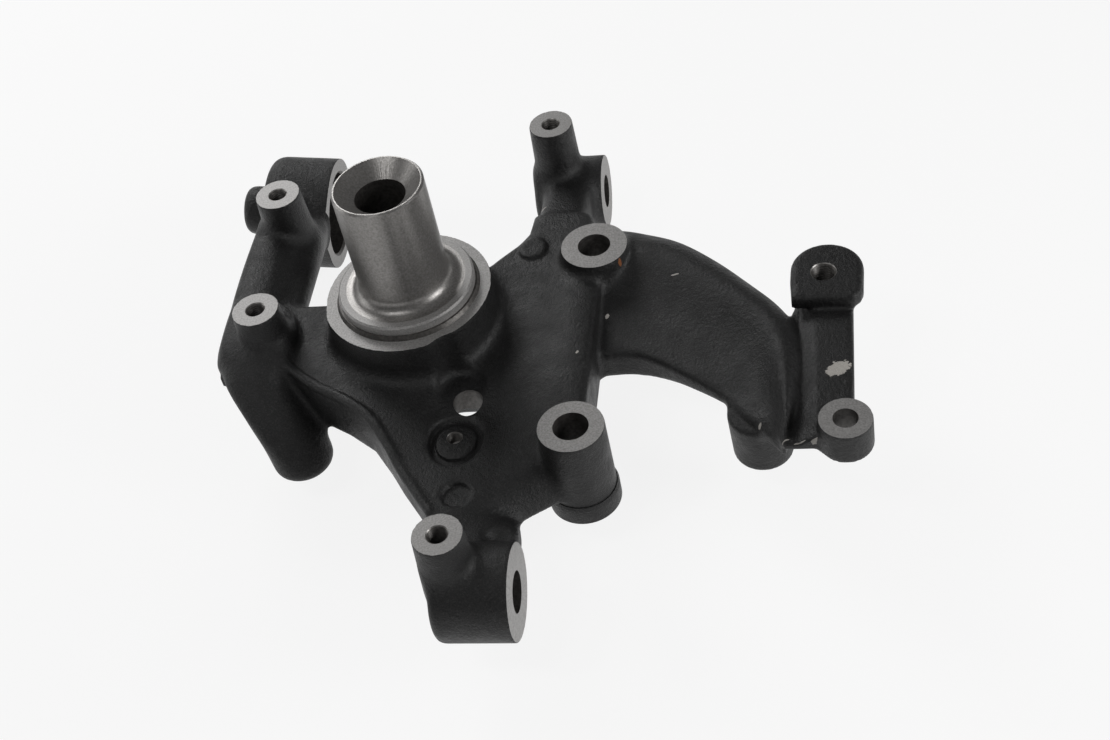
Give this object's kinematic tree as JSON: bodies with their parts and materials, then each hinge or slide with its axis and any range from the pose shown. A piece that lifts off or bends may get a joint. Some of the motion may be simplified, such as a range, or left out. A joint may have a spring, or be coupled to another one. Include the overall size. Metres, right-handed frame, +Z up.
{
  "type": "steering knuckle",
  "caption": "Cast iron knuckle: turned hollow spindle on a flange, tapped pads, bolt bosses, cross-bored lugs and a curved arm with an end plate",
  "frame": {"origin": "on the spindle axis, in the plane of the raised shoulder around the spindle's foot", "axes": "+Z up the spindle, +X along the cross bores toward the curved arm, +Y away from the front lug"},
  "size_m": [0.3929, 0.3722, 0.1633],
  "materials": {
    "cast_iron": "satin black paint over sand-cast iron, machined faces bare grey"
  },
  "bodies": {
    "root": {"knuckle_casting": "cast_iron"}
  },
  "joints": []
}
